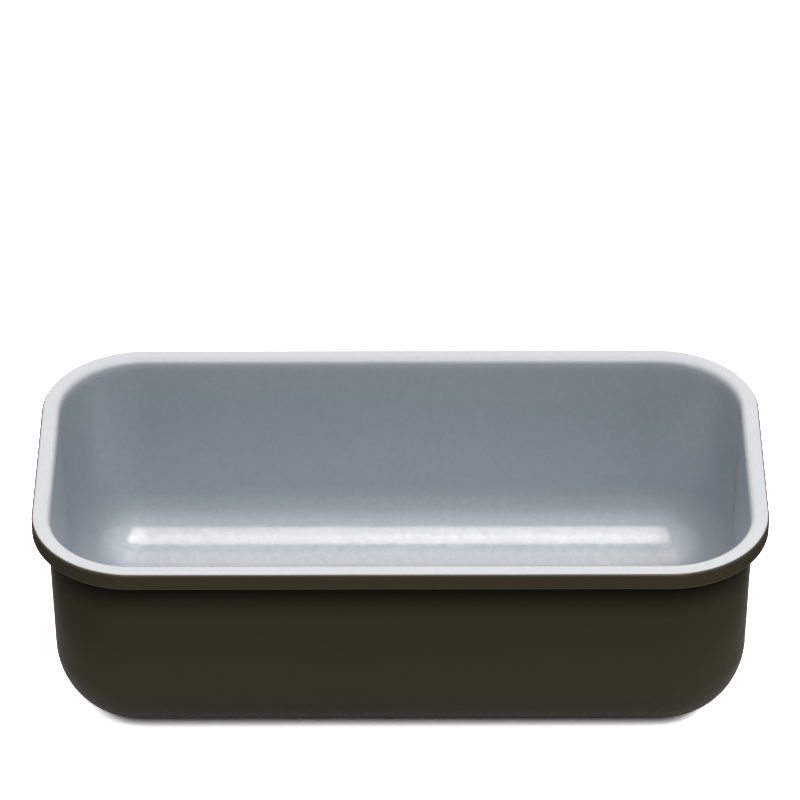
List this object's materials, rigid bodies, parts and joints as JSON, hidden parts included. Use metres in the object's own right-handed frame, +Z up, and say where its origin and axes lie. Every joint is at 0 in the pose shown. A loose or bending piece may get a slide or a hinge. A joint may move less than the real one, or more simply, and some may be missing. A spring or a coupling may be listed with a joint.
{
  "type": "loaf pan",
  "caption": "Rectangular loaf pan with rounded corners, a deep bottom radius and a flat rolled rim; pressed sheet steel with a light non-stick lining and a dark outside coating.",
  "frame": {"origin": "centre of the flat base, on the surface the pan stands on", "axes": "+X along the pan's length, +Y across its width, +Z up through the open top"},
  "size_m": [0.267, 0.1404, 0.0864],
  "materials": {
    "sheet_steel": "aluminised sheet steel, matt, under the coatings",
    "wire_steel": "drawn mild steel wire",
    "interior_coating": "satin light grey ceramic non-stick with a fine mineral fleck",
    "exterior_coating": "satin dark olive-brown heat-proof coating"
  },
  "bodies": {
    "root": {"steel_shell": "sheet_steel", "rim_wire": "wire_steel", "interior_coating": "interior_coating", "exterior_coating": "exterior_coating"}
  },
  "joints": []
}
